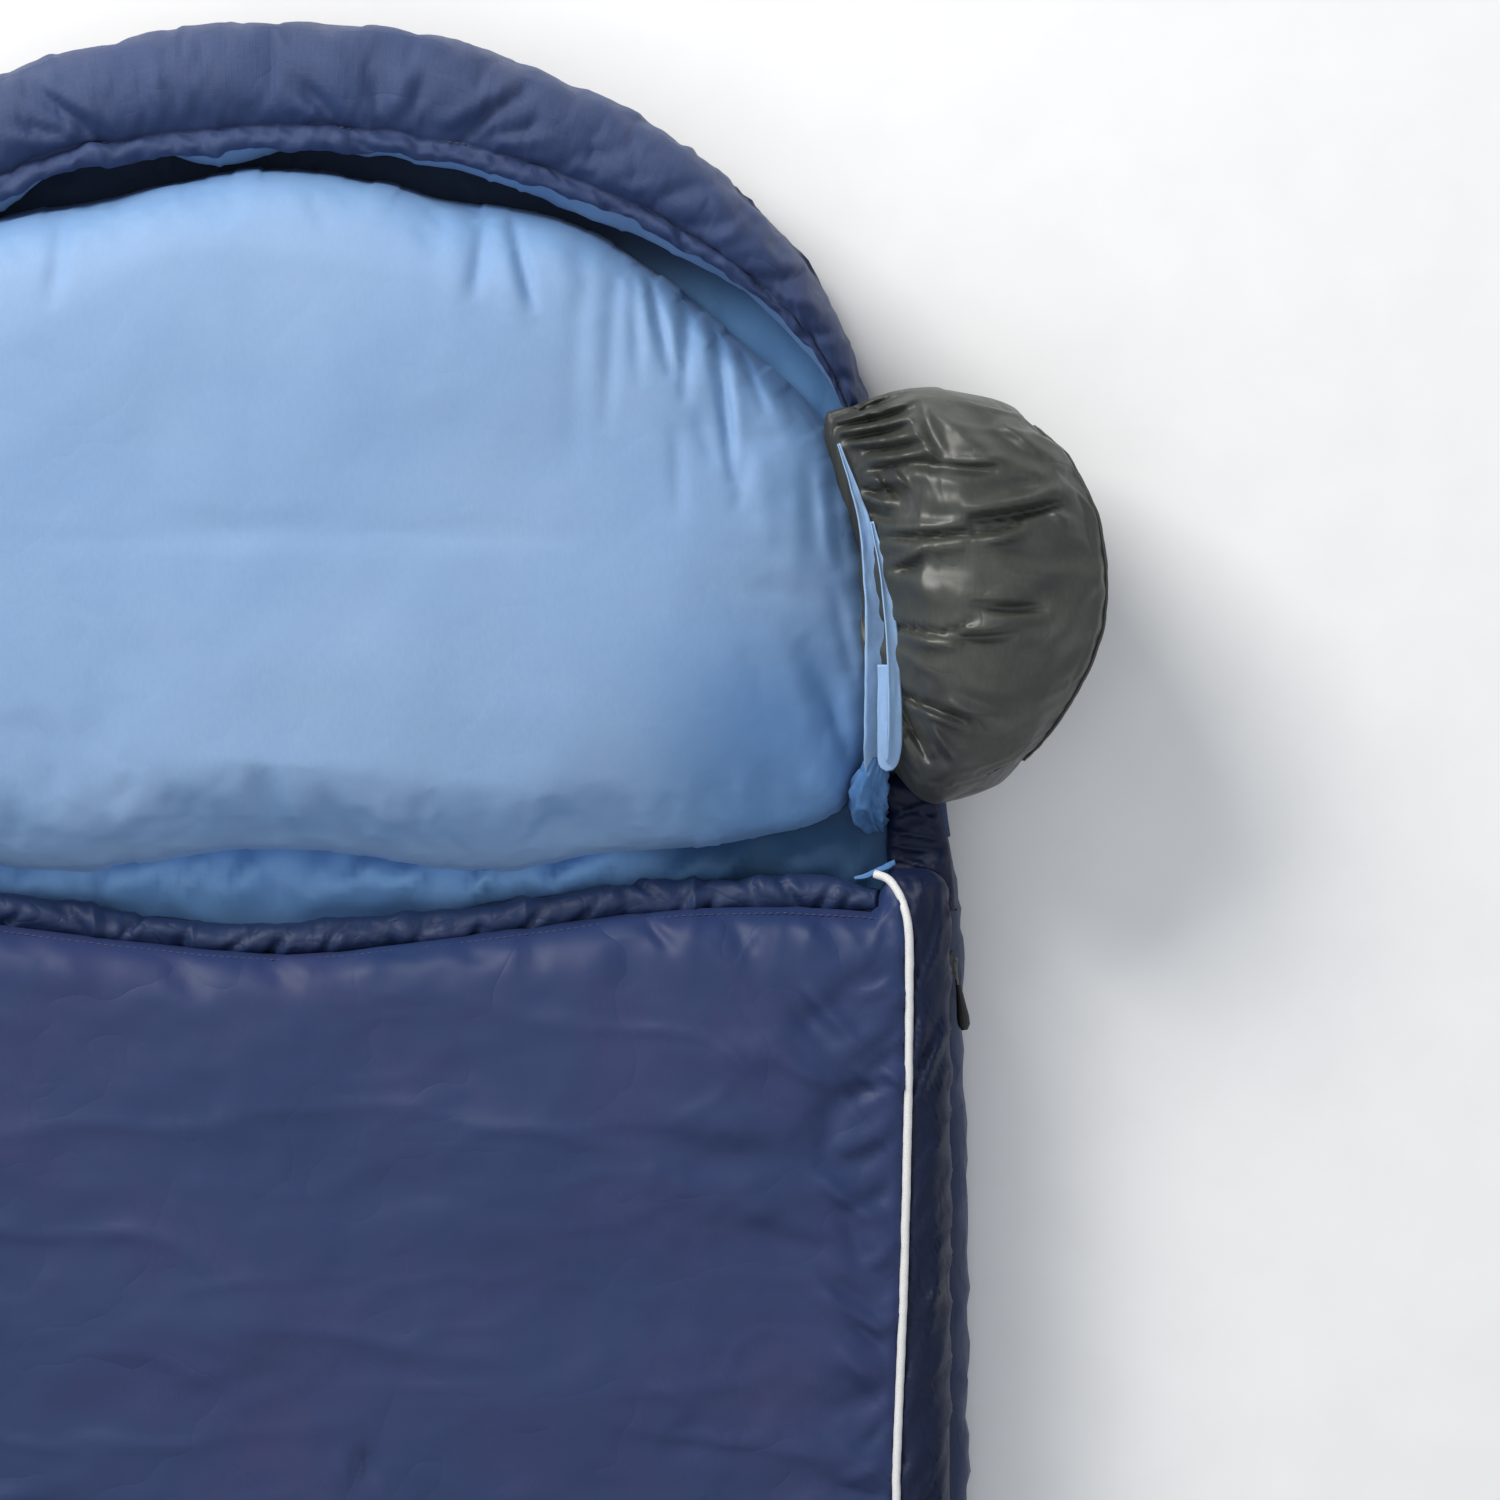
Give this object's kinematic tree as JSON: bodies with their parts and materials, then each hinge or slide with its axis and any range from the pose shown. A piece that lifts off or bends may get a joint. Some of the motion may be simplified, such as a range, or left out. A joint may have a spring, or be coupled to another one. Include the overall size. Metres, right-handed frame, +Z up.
{
  "type": "rectangular sleeping bag",
  "caption": "Padded rectangular sleeping bag with an arched hood, a stuffed pillow pocket, a sewn-on stuff sack and a zip round the side and foot.",
  "frame": {"origin": "middle of the flat underside, at half of the overall length and on the body's centre line", "axes": "+Z up from the ground the bag lies on, +Y towards the head, +X towards the zip side"},
  "size_m": [0.8799, 2.2009, 0.151],
  "materials": {
    "navy_ripstop": "woven ripstop shell fabric, slight sheen",
    "navy_dark": "darker navy binding and tape",
    "navy_satin": "smooth satin-faced cover fabric",
    "light_blue": "soft brushed pale blue lining",
    "pale_blue_tape": "pale blue hem tape",
    "grey_nylon": "glossy dark olive-grey coated nylon",
    "fibre_fill": "white polyester fibre fill",
    "white_piping": "white corded piping",
    "cord": "braided drawcord",
    "zip_coil": "black nylon zip coil",
    "zip_metal": "black lacquered zip metal",
    "spring_steel": "steel spring wire",
    "grip_rubber": "soft black moulded rubber",
    "lock_plastic": "moulded black plastic"
  },
  "bodies": {
    "base": {"bottom_shell": "navy_ripstop", "bottom_insulation": "fibre_fill", "bottom_lining": "light_blue", "zip_tape_lower": "navy_dark", "zip_coil_lower": "zip_coil", "zip_stops_lower": "zip_metal", "seam_binding_lower": "navy_dark"},
    "cover": {"cover_shell": "navy_satin", "cover_insulation": "fibre_fill", "cover_lining": "light_blue", "collar_channel": "navy_satin", "collar_drawcord": "cord", "edge_piping": "white_piping", "zip_tape_upper": "navy_dark", "zip_coil_upper": "zip_coil", "zip_stops_upper": "zip_metal", "draft_tube": "light_blue", "seam_binding_upper": "navy_dark"},
    "hood": {"hood_back_shell": "navy_ripstop", "hood_insulation": "fibre_fill", "hood_lining": "light_blue", "hood_rim_shell": "navy_ripstop", "hood_rim_fill": "fibre_fill", "hood_hem_channel": "navy_ripstop", "hood_drawcord": "cord", "pillow_cover": "light_blue", "pillow_fill": "fibre_fill", "pocket_hem_strip": "pale_blue_tape"},
    "stuff_sack": {"sack_shell": "grey_nylon", "sack_stuffing": "fibre_fill", "sack_base": "grey_nylon", "sack_base_piping": "grey_nylon", "sack_mouth_binding": "grey_nylon"},
    "side_slider": {"side_slider": "zip_metal"},
    "side_pull": {"side_pull": "zip_metal", "side_grip": "grip_rubber"},
    "foot_slider": {"foot_slider": "zip_metal"},
    "foot_pull": {"foot_pull": "zip_metal", "foot_grip": "grip_rubber"},
    "collar_lock": {"collar_lock_body": "lock_plastic", "collar_lock_spring": "spring_steel"},
    "collar_button": {"collar_lock_button": "lock_plastic"},
    "hood_lock": {"hood_lock_body": "lock_plastic", "hood_lock_spring": "spring_steel"},
    "hood_button": {"hood_lock_button": "lock_plastic"}
  },
  "joints": [
    {"name": "cover_open", "type": "hinge", "parent": "base", "child": "cover", "pos_m": [-0.4, 0, 0.055], "axis": [0, -1, 0], "range_deg": [0, 180]},
    {"name": "hood_fold", "type": "hinge", "parent": "base", "child": "hood", "pos_m": [0, 0.615, 0.055], "axis": [1, 0, 0], "range_deg": [0, 60]},
    {"name": "sack_swing", "type": "hinge", "parent": "hood", "child": "stuff_sack", "pos_m": [0.344, 0.77, 0.13], "axis": [0, -1, 0], "range_deg": [0, 90]},
    {"name": "side_zip_run", "type": "slide", "parent": "base", "child": "side_slider", "axis": [0, -1, 0], "range_m": [0, 1.58]},
    {"name": "foot_zip_run", "type": "slide", "parent": "base", "child": "foot_slider", "axis": [1, 0, 0], "range_m": [0, 0.64]},
    {"name": "side_pull_swing", "type": "hinge", "parent": "side_slider", "child": "side_pull", "pos_m": [0.3923, 0.558, 0.055], "axis": [0, 0, 1], "range_deg": [0, 150]},
    {"name": "foot_pull_swing", "type": "hinge", "parent": "foot_slider", "child": "foot_pull", "pos_m": [-0.32, -1.0923, 0.055], "axis": [0, 0, -1], "range_deg": [0, 150]},
    {"name": "collar_lock_slide", "type": "slide", "parent": "cover", "child": "collar_lock", "axis": [0, 1, 0], "range_m": [-0.05, 0.05]},
    {"name": "collar_button_press", "type": "slide", "parent": "collar_lock", "child": "collar_button", "axis": [-1, 0, 0], "range_m": [0, 0.002], "stiffness_N_per_m": 600, "springref_m": -0.002, "deforming": ["collar_lock_spring"]},
    {"name": "hood_lock_slide", "type": "slide", "parent": "hood", "child": "hood_lock", "axis": [0, 1, 0], "range_m": [-0.045, 0.05]},
    {"name": "hood_button_press", "type": "slide", "parent": "hood_lock", "child": "hood_button", "axis": [-1, 0, 0], "range_m": [0, 0.002], "stiffness_N_per_m": 600, "springref_m": -0.002, "deforming": ["hood_lock_spring"]}
  ],
  "couplings": [
    {"joint": "side_zip_run", "follows": "cover_open", "m_per_rad": 0.50006},
    {"joint": "foot_zip_run", "follows": "cover_open", "m_per_rad": 0.20245}
  ]
}
